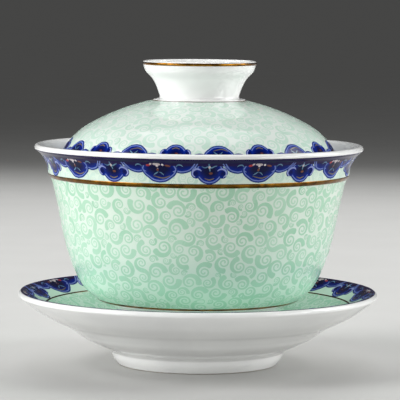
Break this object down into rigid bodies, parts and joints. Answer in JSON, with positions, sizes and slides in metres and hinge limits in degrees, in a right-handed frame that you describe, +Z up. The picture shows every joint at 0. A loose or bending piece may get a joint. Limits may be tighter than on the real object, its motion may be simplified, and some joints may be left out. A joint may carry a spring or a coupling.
{
  "type": "gaiwan",
  "caption": "Flared porcelain tea bowl standing in a footed saucer under a domed lid with a hollow flared knob, scroll-patterned with a lobed blue border and fine gilt lines.",
  "frame": {"origin": "centre of the saucer's foot ring, on the surface that the gaiwan stands on", "axes": "+Z up along the axis that every piece is turned on; +X to the right and -Y towards the viewer, though the form is the same all round"},
  "size_m": [0.1128, 0.1128, 0.0952],
  "materials": {
    "white_glaze": "clear glossy glaze over white porcelain",
    "celadon_glaze": "glossy pale mint glaze with a printed scroll ground",
    "scroll_enamel": "under-glaze green of the scroll ground",
    "cobalt_enamel": "glossy cobalt blue enamel",
    "accent_enamel": "small light blue, white and iron red enamel accents",
    "gilt": "burnished gold lines",
    "bare_foot": "unglazed foot ring"
  },
  "bodies": {
    "saucer": {"saucer": "white_glaze"},
    "bowl": {"bowl": "celadon_glaze"},
    "lid": {"lid_dome": "celadon_glaze", "lid_knob": "white_glaze"}
  },
  "joints": [
    {"name": "bowl_lift", "type": "slide", "parent": "saucer", "child": "bowl", "axis": [0, 0, 1], "range_m": [0, 0.06]},
    {"name": "lid_lift", "type": "slide", "parent": "bowl", "child": "lid", "axis": [0, 0, 1], "range_m": [0, 0.05]}
  ]
}
